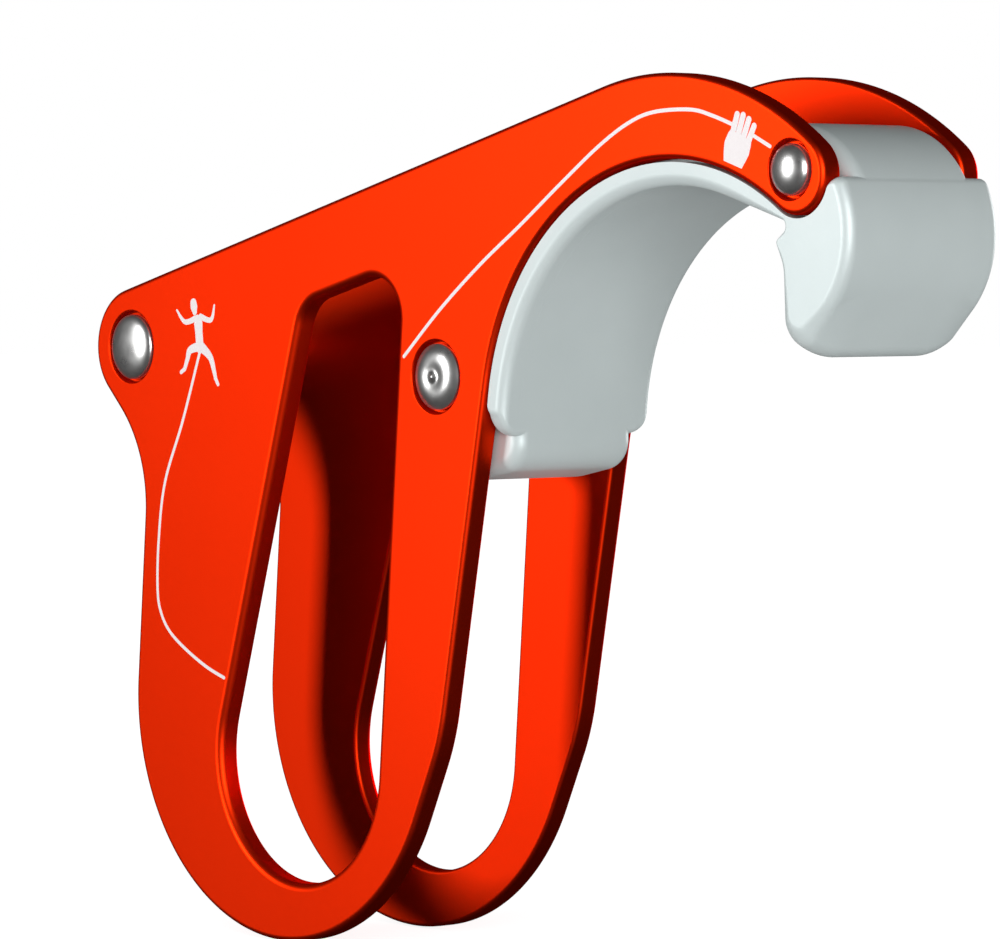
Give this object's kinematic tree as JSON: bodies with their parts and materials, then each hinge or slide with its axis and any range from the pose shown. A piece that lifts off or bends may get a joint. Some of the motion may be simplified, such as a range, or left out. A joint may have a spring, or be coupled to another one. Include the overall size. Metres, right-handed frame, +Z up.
{
  "type": "assisted braking belay device",
  "caption": "Rigid hook-shaped belay device: two slotted aluminium side plates riveted to a cast steel hook insert and a rear sleeve.",
  "frame": {"origin": "centre of the carabiner slots' round lower ends, midway between the side plates", "axes": "+X towards the nose of the hook, +Z up the plates from the slots' round ends to the hook, +Y across the plates from the left one to the right one"},
  "size_m": [0.1123, 0.0224, 0.087],
  "materials": {
    "anodised_plate": "satin orange anodised",
    "cast_steel": "satin, tumbled casting",
    "rivet_steel": "polished",
    "sleeve_steel": "plain turned"
  },
  "bodies": {
    "root": {"side_plate_left": "anodised_plate", "side_plate_right": "anodised_plate", "hook_insert": "cast_steel", "rear_rivet": "rivet_steel", "mid_rivet": "rivet_steel", "nose_rivet": "rivet_steel", "rear_spacer_sleeve": "sleeve_steel"}
  },
  "joints": []
}
